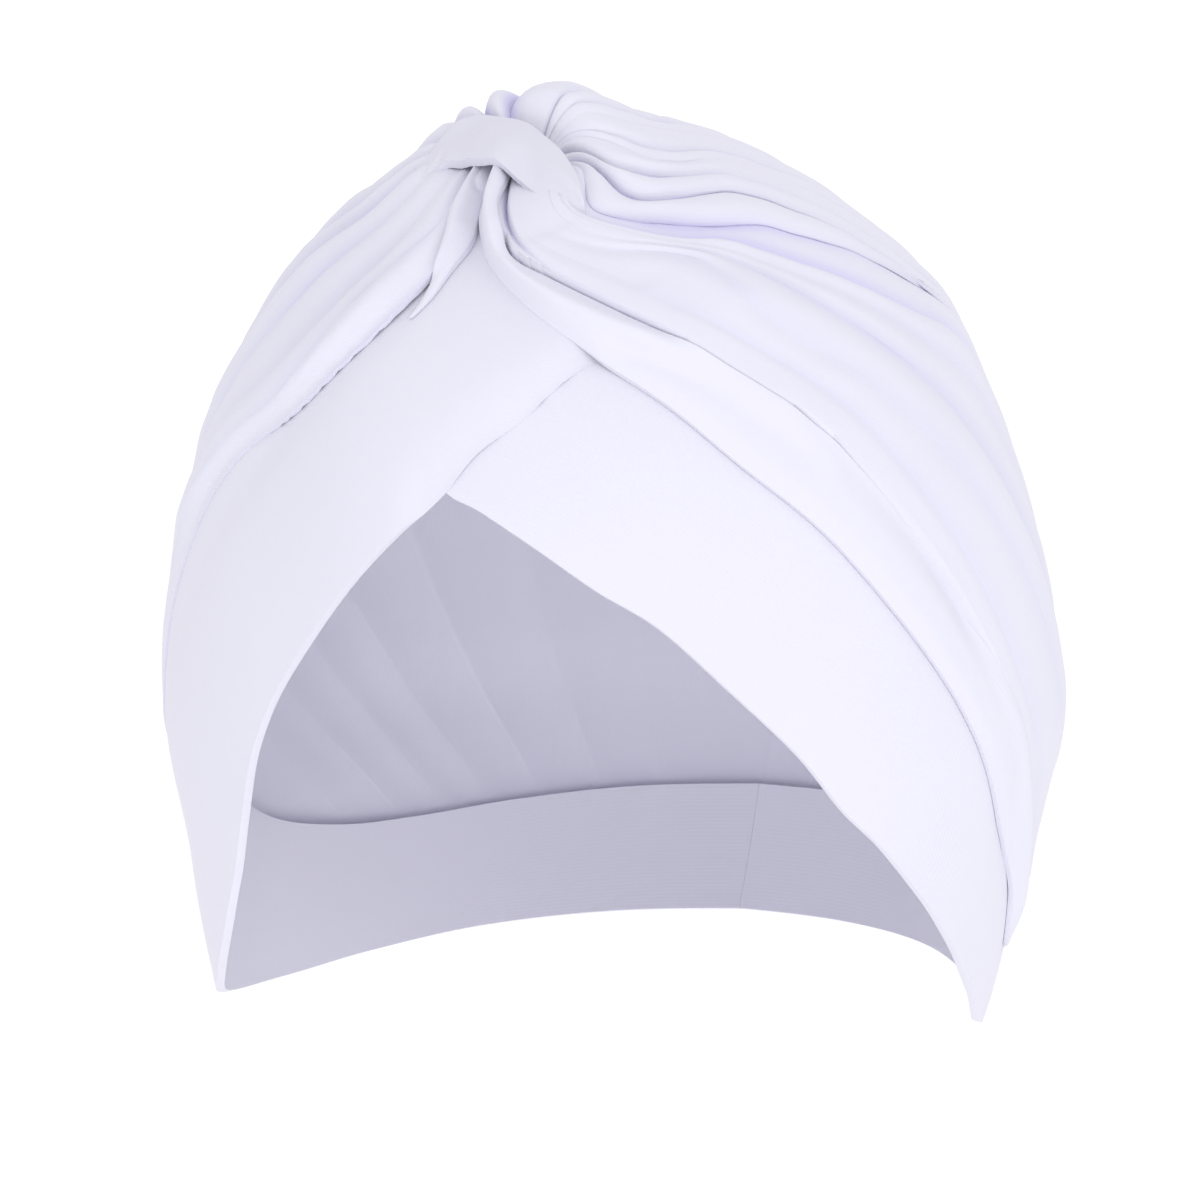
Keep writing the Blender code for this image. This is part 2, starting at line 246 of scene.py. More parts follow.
# The crown. Each arch lies further from the knot: the plan and height of its right edge and of the middle
# of its right side, the angle of the top midline, then the left side and the left edge.
crown = {
    "wall": 1.4, "rows": 132, "length": 9.0, "closerRows": 1.35,
    "arches": (
        (-13.0, 101, -25, 102.3, 68.5, 11, 100.5, -7.5, 99),
        (-10.1, 86.5, -45, 99, 79, 29, 98, 1.5, 84.8),
        (-18.5, 73.5, -57, 91, 91, 48, 93, 20, 75.0),
        (-30, 60, -68, 81, 104, 66, 86, 35, 68.4),
        (-41.2, 51.5, -79, 70, 119, 82, 76, 49.5, 57.0),
        (-50.5, 39.5, -90, 56, 135, 95, 61, 62.5, 38.5),
        (-60, 20.5, -101, 39, 151, 106, 41, 73, 18),
        (-69, -3, -113, 17, 168, 117, 17, 82.5, -3),
        (-84, -24, -127, -9, 183.5, 128, -9, 91, -22),
        (-104, -41, -142, -39, 195.5, 140, -40, 101, -46)),
    # how far it rises round the knot and in the roll behind it, and where that starts and ends
    "knotRise": 4.6, "knotFades": (0.2, 1.8),
    "rollRise": 6.2, "rollSpread": (0.33, 0.25), "rollStarts": (0.0, 0.6), "rollFades": (0.8, 2.0),
    # puffed gathers behind the knot: across, from the knot, their half widths and height
    "tufts": ((-.31, 1.0, .06, .65, 1.5), (-.215, 1.0, .06, .65, 1.0), (-.13, .95, .06, .6, .8),
              (-.41, 2.4, .12, .9, 1.3)),
    # height of the ridges, where they begin, and where they are lower: by what share, from where across
    # and from where along
    "ridge": 2.3, "ridgeStarts": (-0.2, 0.9),
    "lowerSides": (0.62, (0.55, 0.85), (1.2, 3.0)), "lowerLeft": (0.75, (0.62, 0.84), (0.3, 1.4)),
    "lowerBack": (0.45, (6.0, 9.0)),
    # where the crown climbs on to the bands on each side, over their crossing and over the back hem
    "overEdge": ((0.82, 0.94), (0.60, 0.78)), "crossingEnds": (2.5, 3.5), "hemStarts": (7.6, 8.15),
    # how much closer it is pulled low at the right: depth, then middle and half width across and along
    "pulled": (2.2, -0.86, 0.13, 6.2, 1.15),
    # the left side is pulled closer too, apart from one place along its inner part
    "leftPull": {"deep": 1.9, "starts": (1.6, 3.0), "ends": (7.3, 8.3), "inner": (-0.12, 0.10),
                 "outer": (0.52, 0.72), "spared": (4.8, 0.5), "sparedOut": (0.45, 0.6)},
    "stations": (0.0, 0.5, 1.0, 1.5, 2.0, 2.5, 3.0, 4.0, 5.0, 7.0, 9.0),
    # where across the crown each crease runs at the stations, -1 at the wearer's right edge
    "creases": {
        "rightEdge": (-1,) * 11,
        "besideEdge": (-.90, -.92, -.92, -.90, -.90, -.93, -.945, -.955, -.95, -.93, -.91),
        "longSoft": (-.80, -.82, -.82, -.82, -.82, -.84, -.86, -.87, -.87, -.85, -.83),
        "temple": (-.68, -.71, -.72, -.70, -.67, -.68, -.70, -.74, -.76, -.75, -.74),
        "pocket": (-.57, -.60, -.60, -.57, -.54, -.54, -.56, -.60, -.64, -.65, -.64),
        "sideLow": (-.47, -.50, -.50, -.48, -.46, -.46, -.47, -.50, -.53, -.55, -.55),
        "sideHigh": (-.38, -.40, -.41, -.40, -.38, -.38, -.39, -.41, -.43, -.45, -.46),
        "tuftOuter": (-.30, -.31, -.31, -.30, -.29, -.29, -.30, -.31, -.33, -.35, -.37),
        "tuftInner": (-.24, -.24, -.235, -.21, -.20, -.20, -.20, -.21, -.23, -.25, -.27),
        "slit": (-.18, -.175, -.15, -.12, -.11, -.11, -.11, -.11, -.13, -.15, -.17),
        "rollUnder": (-.02, .03, .09, .12, .13, .12, .11, .09, .06, .03, .0),
        "underRoll": (.02, .10, .16, .16, .16, .165, .17, .16, .14, .11, .08),
        "lightStrip": (.07, .17, .23, .225, .22, .22, .225, .225, .22, .20, .18),
        "topFirst": (.10, .24, .305, .305, .28, .27, .28, .28, .28, .27, .26),
        "topSecond": (.12, .29, .365, .345, .315, .30, .31, .315, .32, .32, .32),
        "deepUpper": (.16, .43, .415, .375, .345, .34, .34, .35, .36, .37, .38),
        "deepLower": (.34, .49, .54, .445, .39, .37, .37, .38, .39, .41, .43),
        "broadTop": (.47, .62, .70, .56, .485, .435, .42, .395, .375, .40, .45),
        "broadFoot": (.57, .70, .745, .68, .555, .515, .49, .46, .42, .46, .51),
        "sideFaint": (.62, .74, .77, .72, .61, .57, .545, .515, .49, .53, .57),
        "sideMid": (.67, .77, .80, .76, .64, .615, .61, .61, .60, .63, .66),
        "sideLong": (.75, .83, .85, .80, .69, .73, .78, .78, .76, .76, .77),
        "lowLong": (.85, .89, .90, .885, .87, .885, .885, .88, .895, .92, .91),
        "gapFold": (.93, .93, .93, .935, .94, .945, .945, .95, .955, .97, .96),
        "leftEdge": (1,) * 11},
    # how deep each crease is below the ridges at the stations, in millimetres
    "depths": {
        "rightEdge": (1.0, 1.4, 1.6, 1.6, 1.5, 1.4, 1.2, 1.0, .8, .6, .5),
        "besideEdge": (.4, .8, 1.0, 1.2, 1.2, 1.2, 1.1, .9, .6, .5, .4),
        "longSoft": (.3, .4, .7, 1.0, 1.2, 1.2, 1.1, 1.0, .7, .5, .4),
        "temple": (.4, .5, .9, 1.3, 1.6, 1.6, 1.5, 1.3, 1.0, .7, .5),
        "pocket": (.5, .8, 1.4, 1.8, 1.9, 1.8, 1.7, 1.5, 1.3, 1.0, .8),
        "sideLow": (.5, .8, 1.2, 1.6, 1.9, 2.0, 2.0, 1.8, 1.5, 1.2, .8),
        "sideHigh": (.8, 1.2, 1.8, 2.2, 2.4, 2.2, 2.0, 2.0, 1.8, 1.5, 1.0),
        "tuftOuter": (1.0, 2.4, 2.8, 2.6, 2.4, 2.4, 2.2, 2.2, 2.0, 1.6, 1.0),
        "tuftInner": (1.2, 3.2, 3.2, 2.6, 2.2, 2.2, 2.2, 2.2, 2.0, 1.6, 1.0),
        "slit": (1.5, 3.4, 2.8, 2.2, 2.0, 2.0, 2.0, 2.0, 1.8, 1.5, 1.0),
        "rollUnder": (1.0, 2.0, 2.6, 2.4, 1.6, 1.2, 1.4, 1.6, 1.6, 1.4, 1.0),
        "underRoll": (.3, 1.2, 2.6, 2.8, 2.4, 2.2, 2.0, 1.8, 1.5, 1.2, 1.0),
        "lightStrip": (.1, .2, .4, .4, .4, .6, .8, 1.0, 1.0, 1.0, .8),
        "topFirst": (.2, .9, 2.2, 2.4, 2.3, 2.2, 2.0, 1.6, 1.4, 1.2, 1.0),
        "topSecond": (.2, .5, .6, .4, .3, .2, .3, .5, .7, .8, .8),
        "deepUpper": (4.2, 6.0, 3.8, 2.3, 2.1, 2.0, 1.9, 1.6, 1.3, 1.1, 1.0),
        "deepLower": (2.5, 4.6, 5.4, 3.2, 2.4, 2.2, 2.0, 1.6, 1.4, 1.2, 1.0),
        "broadTop": (.4, .7, 1.6, 2.8, 2.9, 2.3, 1.9, 1.5, 1.3, 1.2, 1.0),
        "broadFoot": (.4, .6, 1.4, 2.8, 2.7, 2.2, 2.0, 1.9, 1.6, 1.3, 1.0),
        "sideFaint": (0, 0, 0, .05, .2, .45, .7, 1.0, 1.0, .9, .6),
        "sideMid": (0, 0, 0, .2, .7, 1.2, 1.5, 1.6, 1.5, 1.3, .9),
        "sideLong": (0, 0, .1, .5, 1.0, 1.2, 1.1, 1.1, 1.1, 1.0, .6),
        "lowLong": (0, 0, .1, .3, .7, 1.0, 1.2, 1.3, 1.3, 1.0, .6),
        "gapFold": (1.5, 2.4, 1.4, .3, 0, 0, 0, 0, 0, 0, 0),
        "leftEdge": (0,) * 11},
    # how far the ridge after a crease is sunk at the stations, and how far the cloth above it laps over
    "sunk": {"broadTop": (0, .3, 1.2, 2.2, 2.2, 1.5, 1.0, .5, .2, 0, 0)},
    "laps": {"underRoll": .8, "topFirst": .8, "deepUpper": 1.3, "deepLower": 1.2, "broadTop": .9,
             "rollUnder": .5},
    "lapReach": 0.22, "lapStarts": (0.1, 0.5), "lapEases": (0.6, (3.0, 6.0)),
    # creases with a rounded bottom, from 0, sharp, to 1, a soft valley
    "softness": {"besideEdge": .9, "longSoft": .9, "temple": .7, "pocket": .5, "sideLow": .6, "sideHigh": .5,
                 "lightStrip": .4, "topSecond": .6, "broadTop": .5, "broadFoot": .5, "sideFaint": 1,
                 "sideMid": .9, "sideLong": 1, "lowLong": .9, "gapFold": .2},
    # where a pleat is highest, plain and where it laps on the top and left, which begin this far across,
    # and how full it is there and on the right
    "crest": 0.5, "lappedCrest": 0.62, "topFrom": -0.1, "fullness": (1.5, 1.15), "tightness": (0.8, 0.1),
    # slow and fine unevenness, and how much shallower the creases are on the left
    "drift": 0.18, "fine": 0.22, "shallower": (0.2, 0.18, (1.3, 2.2)),
    # the roll of cloth beside the front fold: its height, its reach, and the groove between them
    "beside": 1.7, "besideReach": 9.0, "groove": (0.15, 0.95), "grooveDepth": 1.4,
    "besideStarts": (2.4, 4.4), "besideEnds": (7.8, 10.2), "edgeRound": 1.6,
    # the right edge tapers, and near the knot it tapers sooner and sinks this far
    "nearKnot": (1.4, 2.4), "taper": (0.965, 0.07), "taperDepth": 0.5,
    # the hems that are sewn flat to the bands: their spans across and along
    "sewn": {"right": (0.955, 0.985), "rightWider": 0.115, "rightLow": (4.8, 6.2), "rightStarts": (1.2, 2.2),
             "left": (0.965, 0.99), "leftStarts": (3.6, 4.6), "back": (8.55, 8.85),
             "backLift": 1.7, "backRises": (8.2, 8.5),
             # broken stitching shows at the right temple, and lower down the hem melts into the band
             "stitchesEnd": 8.0, "melts": (3.2, 3.9), "stitchesPerStep": 15.0, "stitchSpan": (-0.1, 0.15),
             # height over the band when sewn, more between stitches, less where it melts
             "inside": (0.08, 0.35, 0.25), "outside": (0.9, 0.25, 0.5)},
    # beneath the knot wrap the gathers close towards this plan and height
    "closing": (-6.0, 99.5), "closingLifts": (5.0, 3.6), "closingShares": (0.05, 0.55),
    "closingRight": (-0.75, -0.35), "closingLeft": (0.6, 0.85),
    # the columns between one crease and the next
    "shares": (0.0, .035, .09, .17, .28, .40, .53, .66, .78, .87, .935, .975),
}


def crownDirection(arch, across):
    swing = math.radians(arch[4])
    stops = (direction(arch[0], arch[1]), direction(arch[2], arch[3]),
             Vector((0, -math.cos(swing), math.sin(swing))),
             direction(arch[5], arch[6]), direction(arch[7], arch[8]))
    position = (across + 1) * 2
    index = min(max(int(position), 0), 3)
    before = stops[index - 1] if index else 2 * stops[0] - stops[1]
    after = stops[index + 2] if index < 3 else 2 * stops[4] - stops[3]
    return throughPoints(before, stops[index], stops[index + 1], after, position - index).normalized()


def crownRest(across, position):
    # how far the inside of the crown lies off the head, without its pleats
    left = across > 0
    overEdge = easeStep(*crown["overEdge"][left], abs(across))
    crossing = layers["edgeCrossing"] - layers["edge"]
    edge = layers["edge"] + crossing * easeOff(crown["crossingEnds"], position)
    rest = head["crownRest"] + (edge - head["crownRest"]) * overEdge
    rest += max(layers["hem"] - rest, 0.0) * easeStep(*crown["hemStarts"], position)
    knot = crown["knotRise"] * easeOff(crown["knotFades"], position) * (1 - 0.9 * overEdge)
    roll = crown["rollRise"] * swell(across, 0.0, crown["rollSpread"][left])
    roll *= easeStep(*crown["rollStarts"], position) * easeOff(crown["rollFades"], position)
    pull = crown["leftPull"]
    spared = swell(position, *pull["spared"]) * easeOff(pull["sparedOut"], across)
    leftPull = pull["deep"] * easeStep(*pull["starts"], position) * easeOff(pull["ends"], position)
    leftPull *= easeStep(*pull["inner"], across) * easeOff(pull["outer"], across) * (1 - spared)
    deep, middle, wide, along, long = crown["pulled"]
    pulled = deep * swell(across, middle, wide) * swell(position, along, long)
    return rest + knot + roll - leftPull - pulled


def foldNeighbour():
    # the distance of a point from the front fold's high edge, and how crisp the groove is there
    steps = 900
    lift = 5.0
    places = [(len(frontFold["rows"]) - 1) * step / steps for step in range(steps + 1)]
    sections = [smoothRow(frontFold["rows"], place) for place in places]
    high = [onHead(direction(*row[2:4]), lift) for row in sections]
    low = [onHead(direction(*row[:2]), lift) for row in sections]
    tree = kdtree.KDTree(len(high))
    for index, point in enumerate(high):
        tree.insert(point, index)
    tree.balance()

    def beside(point):
        near, index, distance = tree.find(point)
        outward = (point - near).dot(near - low[index])
        place = places[index]
        strength = easeStep(*crown["besideStarts"], place) * easeOff(crown["besideEnds"], place)
        return (distance / mm if outward > 0 else 0.0), strength

    return beside


def pleatShape(first, second, share, topOrLeft):
    # between two creases: whether a point is on the rising side, how far it is from its crease to the
    # crest, and how high up the pleat it lies
    lap = crown["laps"].get(second, 0.0)
    crest = crown["lappedCrest"] if lap and topOrLeft else crown["crest"]
    rising = share < crest
    walk = share / crest if rising else (1 - share) / (1 - crest)
    lapped, plain = crown["tightness"]
    tight = lapped if lap and not rising else plain
    soft = crown["softness"].get(first if rising else second, 0.0)
    fuller, plain = crown["fullness"]
    flat = 1 - (1 - walk) ** (fuller if topOrLeft else plain)
    height = (1 - tight) * math.sin(0.5 * math.pi * flat) + tight * math.sqrt(1 - (1 - walk) ** 2)
    return rising, walk, (1 - soft) * height + soft * (0.5 - 0.5 * math.cos(math.pi * walk))


def ridgeHeight(across, position):
    ridge = crown["ridge"] * easeStep(*crown["ridgeStarts"], position)
    for lower, place in (("lowerSides", abs(across)), ("lowerLeft", across)):
        share, acrossSpan, alongSpan = crown[lower]
        ridge *= 1 - share * easeStep(*acrossSpan, place) * easeStep(*alongSpan, position)
    share, alongSpan = crown["lowerBack"]
    return ridge * (1 - share * easeStep(*alongSpan, position))


def lapShift(name, rising, walk, position):
    # how far the cloth above a crease laps over it
    lap = crown["laps"].get(name, 0.0)
    if rising or not lap:
        return 0.0
    reach = walk / crown["lapReach"]
    share, span = crown["lapEases"]
    return (lap * reach * math.exp(1 - reach) * easeStep(*crown["lapStarts"], position)
            * (1 - share * easeStep(*span, position)))


def sewnDown(across, position, unit, bandLift, inside, outside):
    # the hems below the knot are sewn flat to the bands
    hems = crown["sewn"]
    start, finish = hems["right"]
    start -= hems["rightWider"] * easeStep(*hems["rightLow"], position)
    sewn = max(easeStep(start, finish, -across) * easeStep(*hems["rightStarts"], position),
               easeStep(*hems["left"], across) * easeStep(*hems["leftStarts"], position),
               easeStep(*hems["back"], position))
    if not sewn:
        return inside, outside
    melted = loose = 0.0
    if across < 0 and position < hems["stitchesEnd"]:
        melted = easeStep(*hems["melts"], position)
        stitches = noise.noise(Vector((position * hems["stitchesPerStep"], 0.0, 3.0)))
        loose = (1 - melted) * easeStep(*hems["stitchSpan"], stitches)
    beneath = max(bandLift(unit), hems["backLift"] * easeStep(*hems["backRises"], position))
    lifts = []
    for lift, (flat, more, less) in ((inside, hems["inside"]), (outside, hems["outside"])):
        lifts.append(lift + (beneath + flat + more * loose - less * melted - lift) * sewn)
    return lifts


def shiftAlongRow(row, shifts):
    # moves each point along its row, towards the next column
    moved = []
    for k, point in enumerate(row):
        if shifts[k] > 0.01:
            ahead = row[min(k + 4, len(row) - 1)] - row[max(k - 4, 0)]
            point = point + ahead.normalized() * shifts[k] * mm
        moved.append(point)
    return moved


def closeAtKnot(gathered, outer, inner, fold):
    # one more row, beneath the knot wrap, where the gathers close towards their middle
    least, most = crown["closingShares"]
    closing = [least + most * easeStep(*crown["closingRight"], across) * easeOff(crown["closingLeft"], across)
               for across in gathered]
    for cloth, lift in zip((outer, inner), crown["closingLifts"]):
        centre = onHead(direction(*crown["closing"]), lift)
        cloth.insert(0, [point.lerp(centre, share) for point, share in zip(cloth[0], closing)])
    fold.insert(0, fold[0])


def buildCrown(bandLift):
    besideFold = foldNeighbour()
    names = list(crown["creases"])
    last = len(names) - 2
    columns = [(i, share) for i in range(last + 1) for share in crown["shares"]] + [(last, 1.0)]

    def linesAt(table, position):
        return [atStation(crown["stations"], crown[table][name], position) if name in crown[table] else 0.0
                for name in names]

    def acrossAt(lines, i, share):
        return lines[i] + (lines[i + 1] - lines[i]) * share

    outer, inner, fold = [], [], []
    for row in range(crown["rows"] + 1):
        position = crown["length"] * (row / crown["rows"]) ** crown["closerRows"]
        arch = smoothRow(crown["arches"], position)
        lines, depths, sunk = [linesAt(table, position) for table in ("creases", "depths", "sunk")]
        outerRow, innerRow, foldRow, laps = [], [], [], []
        for i, share in columns:
            across = acrossAt(lines, i, share)
            rising, walk, rounded = pleatShape(names[i], names[i + 1], share, across > crown["topFrom"])
            depth = depths[i] if rising else depths[i + 1]
            ridge = ridgeHeight(across, position)
            lowered = ridge / crown["ridge"] if position > 2.0 else 1.0
            for middle, along, wide, long, high in crown["tufts"]:
                ridge += high * swell(across, middle, wide) * swell(position, along, long)
            drop = depth * (1 - rounded) * (0.35 + 0.65 * lowered) + sunk[i] * rounded
            fromAcross, part, span = crown["shallower"]
            if across > fromAcross:
                drop *= 1 - part * easeStep(*span, position)
            drift = crown["drift"] * noise.noise(Vector((i * 7.3, position * 1.1, 0.3)))
            fine = crown["fine"] * noise.noise(Vector((across * 14, position * 2.6, 5.1)))
            height = ridge * (1 + drift) + fine * easeStep(0.2, 1.5, position) - drop
            rest = crownRest(across, position)
            unit = crownDirection(arch, across)
            groove = 0.0
            if across > 0.5:
                # a roll of cloth beside the front fold, and a narrow groove between the two
                point = onHead(unit, rest)
                away, strength = besideFold(point)
                height += crown["beside"] * strength * swell(away, 0.0, crown["besideReach"])
                groove = strength * easeOff(crown["groove"], away)
                height -= (height + crown["grooveDepth"]) * groove
                inward = (point - onHead(crownDirection(arch, 1.0), rest)).length / mm
                rim = math.sqrt(1 - (1 - min(inward / crown["edgeRound"], 1.0)) ** 2)
                height = 0.1 + (height - 0.1) * rim
            else:
                nearKnot = easeOff(crown["nearKnot"], position)
                start, wider = crown["taper"]
                taper = easeStep(start - wider * nearKnot, 1.0, -across)
                height -= (height + crown["taperDepth"] * nearKnot) * taper
            height = max(height, -0.4 - 0.75 * max(rest - 3.0, 0.0) - 0.6 * groove)
            inside = rest + min(0.45 * max(height, 0.0), 1.2) + min(height, 0.0)
            outside = rest + crown["wall"] + height
            inside, outside = sewnDown(across, position, unit, bandLift, inside, outside)
            outerRow.append(onHead(unit, outside))
            innerRow.append(onHead(unit, inside))
            # how deep the crease is here, used by the material as painted shade in the crease
            foldRow.append(min(max(1 - rounded, 0.0) * min(depth / 2.2, 1.4) + 0.35 * sunk[i], 1.0))
            laps.append(lapShift(names[i + 1], rising, walk, position))
        outer.append(shiftAlongRow(outerRow, laps))
        inner.append(innerRow)
        fold.append(foldRow)
    lines = linesAt("creases", 0.0)
    closeAtKnot([acrossAt(lines, i, share) for i, share in columns], outer, inner, fold)
    return thickCloth("crown_pleats", outer, inner, fold, 0.3)


# The bands, the fold and the tuck. Each row is a place along the strip: the plan and height of its low
# edge, then of its high edge. Spans along a strip are counted in rows, and across it from 0 to 1.
overBand = {
    "wall": 1.8, "along": 230, "across": 26,
    # where its rise over the under band ends, and how much closer it lies at the wearer's right
    "riseEnds": (6.5, 9.0), "dip": (1.0, (9.0, 11.0), (13.5, 16.0)),
    # stations along its low edge and how far it stands clear of the band beneath there, 0 to 1
    "crossing": ((0, 1.5, 1.9, 2.2, 2.5, 2.8, 3.2, 3.6, 4.6, 5.0, 5.6, 6.0),
                 (.3, .3, .9, .2, 1.0, .1, .1, .7, .7, .1, .1, 1.0)),
    # how far that edge is pressed down, how much more where it isn't clear, and how far across
    "pressedInside": (0.3, 0.45, (0.0, 0.12)), "pressedOutside": (1.2, 0.25, (0.0, 0.22)),
    "crossingEnds": (5.6, 6.2),
    # a soft crease runs along the cloth beside the crown's edge: depth, middle and half width, and spans
    "crease": (0.9, 0.74, 0.09, (4.5, 6.0), (11, 13)),
    "ripple": (0.35, 2.0),
    "rows": (
        (25, 75, 20, 88), (20, 71, 12, 92), (14, 66, 5, 95), (9, 60, -3, 96), (3, 54, -10, 96),
        (-1, 47, -17, 93), (-6, 40, -24, 86), (-12, 31, -31, 77), (-18, 21, -38, 68),
        (-24, 10, -45, 58), (-29, -2, -52, 47), (-34, -16, -60, 33), (-40, -30, -69, 15),
        (-48, -43, -78, -3), (-60, -53, -88, -18), (-78, -58, -100, -28), (-100, -59, -115, -32),
        (-120, -57, -129, -32), (-140, -54, -144, -30), (-160, -52, -161, -28),
        (-180, -51, -180, -27)),
}

underBand = {
    "wall": 1.8, "along": 220, "across": 24, "ripple": (0.30, 6.0),
    # small dents beside the crossing: along, across, their half lengths and widths, and depth
    "dents": ((3.2, .80, .35, .10, .7), (2.4, .70, .30, .08, .4)),
    "rows": (
        (-13, 62, -9, 84), (-8, 58, 0, 85), (-4, 52, 6, 85), (-1, 47, 12, 84), (4, 44, 19, 82),
        (12, 37.5, 27, 79), (20, 30, 35, 73), (28, 23, 43, 66), (37, 11, 51, 56), (45, 0, 59, 43),
        (53, -12, 67, 29), (61, -20.5, 74, 13), (70, -31, 82, -4), (79, -42, 90, -18),
        (89, -53, 100, -28), (101, -61, 110, -33), (120, -58, 127, -33), (140, -54, 144, -31),
        (160, -52, 161, -28), (180, -51, 180, -27)),
}

frontFold = {
    "wall": 1.5, "along": 220, "across": 26,
    "rows": (
        (-10.8, 102, -5.5, 102), (-8.8, 97.4, -3.2, 97.4), (-7.3, 93.0, -1.8, 92.8), (-4.6, 89.0, 1.0, 89.0),
        (-1, 85.2, 4.0, 85.0), (8, 78.3, 11.5, 82.0), (20, 70.0, 21.0, 77.6), (30.5, 62, 33.5, 71.0),
        (40.5, 51, 45, 63.3), (50.5, 39.5, 55.5, 53), (60, 24.5, 65, 38), (69, 9, 73.5, 21),
        (77, -6, 82, 6), (85, -19, 89, -9), (94, -31, 96, -23), (99, -40.5, 100, -33.5),
        (103, -46.5, 104, -40.0), (108, -47.5, 109, -44.5), (113, -46.5, 113, -45.5)),
    # row, height of the roll along its middle, and how far the high edge is thinned to lie flush
    "roll": ((0, .7, 0), (1.5, 1.3, 0), (3, 1.5, 0), (5, 1.0, 0), (7, .7, 0), (8.3, .6, .2), (9.5, .5, .8),
             (11, .4, 1), (15, .4, 1), (18, .1, 1)),
    "raised": (0.5, (7.0, 9.0)), "knot": (0.1, (0.2, 3.4)), "overKnot": (4.7, (1.2, 2.6)),
    "ripple": (0.22, 4.0),
    # where its edges melt into the cloth beneath, low and high, and its tail: how far, then spans
    "meltLow": (0.4, (0.0, 0.2), (2.2, 3.2), (5.6, 6.4)), "meltHigh": (0.5, (0.75, 1.0), (8.0, 10.0)),
    "meltTail": (1.1, (13.2, 15.4)),
    # where its wall is thinner: by what share, then spans
    "thinHigh": (0.82, (0.55, 1.0)), "thinLow": (0.4, (6.0, 7.5), (0.0, 0.25)),
    "thinFront": (0.7, (2.0, 3.5), (5.6, 6.4), (0.0, 0.4)), "thinTail": (0.7, (14.5, 17.5)),
}

tuckFold = {
    "wall": 1.5, "along": 80, "across": 16,
    "rows": (
        (-15, 102, -9.8, 102), (-13.4, 97.2, -8.6, 97.3), (-12.4, 92.5, -7.0, 92.3),
        (-11.2, 88.8, -6.2, 88.6), (-11.0, 84.0, -8.3, 84.0), (-12.0, 79.5, -10.2, 79.5),
        (-13.2, 76.0, -12.6, 76.0)),
    "raised": (0.6, (2.6, 5.2)), "knot": (0.3, (0.1, 2.4)), "overKnot": (4.7, (1.0, 2.0)),
    # it flattens towards its tip: span, and what is left of its wall and of its roll
    "flattens": (2.6, 5.8), "flatWall": 0.75, "roll": (1.0, 0.7),
}


def evenPositions(rows, count):
    # places along a strip at even distances
    steps = 600
    fine = [(len(rows) - 1) * step / steps for step in range(steps + 1)]
    walk = [0.0]
    for a, b in zip(fine, fine[1:]):
        first, second = smoothRow(rows, a), smoothRow(rows, b)
        low = onHead(direction(*first[:2]), 0) - onHead(direction(*second[:2]), 0)
        high = onHead(direction(*first[2:4]), 0) - onHead(direction(*second[2:4]), 0)
        walk.append(walk[-1] + low.length + high.length)
    found, place = [], 0
    for step in range(count + 1):
        target = walk[-1] * step / count
        while place < steps - 1 and walk[place + 1] < target:
            place += 1
        share = (target - walk[place]) / max(walk[place + 1] - walk[place], 1e-12)
        found.append(fine[place] + share * (fine[place + 1] - fine[place]))
    return found


def edgeShares(count):
    # steps across a strip, closer together beside its edges
    turns = [math.cos(math.pi * step / count) for step in range(count + 1)]
    return [0.5 - 0.5 * turn * (0.75 + 0.25 * turn ** 2) for turn in turns]


def strip(name, piece, innerLift, outerLift, beneath=None, rimWidth=0.6):
    positions = evenPositions(piece["rows"], piece["along"])
    shares = edgeShares(piece["across"])
    units = []
    for position in positions:
        section = smoothRow(piece["rows"], position)
        low, high = direction(*section[:2]), direction(*section[2:4])
        units.append([low.slerp(high, share) for share in shares])
    if beneath:
        laid = tautOver([[beneath(unit) for unit in row] for row in units], 2)
    else:
        laid = [[0.0] * len(shares)] * len(positions)
    inner, outer = [], []
    for position, row, lifts in zip(positions, units, laid):
        inside = [innerLift(position, share, lift) for share, lift in zip(shares, lifts)]
        outer.append([onHead(unit, outerLift(position, share, lift))
                      for unit, share, lift in zip(row, shares, inside)])
        inner.append([onHead(unit, lift) for unit, lift in zip(row, inside)])
    return thickCloth(name, outer, inner, None, rimWidth)


def softWaves(position, share, size, seed):
    # long low ripples that run with the strip
    slow = noise.noise(Vector((position * 0.45, share * 1.6, seed)))
    quick = noise.noise(Vector((position * 0.9, share * 3.4, seed + 9.0)))
    return size * (0.7 * slow + 0.3 * quick) * math.sin(math.pi * min(max(share, 0.0), 1.0)) ** 0.5


def buriedEdge(pressed, position, share):
    # how far the over band's low edge is pressed down at the crossing
    deep, more, acrossSpan = pressed
    buried = 1 - atStation(*overBand["crossing"], position)
    return (deep + more * buried) * easeOff(acrossSpan, share) * easeOff(overBand["crossingEnds"], position)


def overInner(position, share, laid):
    lift = layers["overBand"] * easeOff(overBand["riseEnds"], position)
    deep, starts, ends = overBand["dip"]
    lift -= deep * easeStep(*starts, position) * easeOff(ends, position)
    return lift - buriedEdge(overBand["pressedInside"], position, share)


def overOuter(position, share, inside):
    deep, middle, wide, starts, ends = overBand["crease"]
    crease = deep * swell(share, middle, wide) * easeStep(*starts, position) * easeOff(ends, position)
    pressed = buriedEdge(overBand["pressedOutside"], position, share)
    return inside + overBand["wall"] + softWaves(position, share, *overBand["ripple"]) - crease - pressed


def underInner(position, share, laid):
    return 0.0


def underOuter(position, share, inside):
    dent = 0.0
    for place, across, long, wide, deep in underBand["dents"]:
        dent += deep * swell(position, place, long) * swell(share, across, wide)
    return inside + underBand["wall"] + softWaves(position, share, *underBand["ripple"]) - dent


def foldAndTuckRest(piece, position, share, laid):
    # both lie on the cloth beneath, arch a little, and rise over the knot
    raised, knot, least = [high * easeOff(span, position)
                           for high, span in (piece["raised"], piece["knot"], piece["overKnot"])]
    return max(laid, least) + 0.1 + raised * math.sin(math.pi * share) + knot


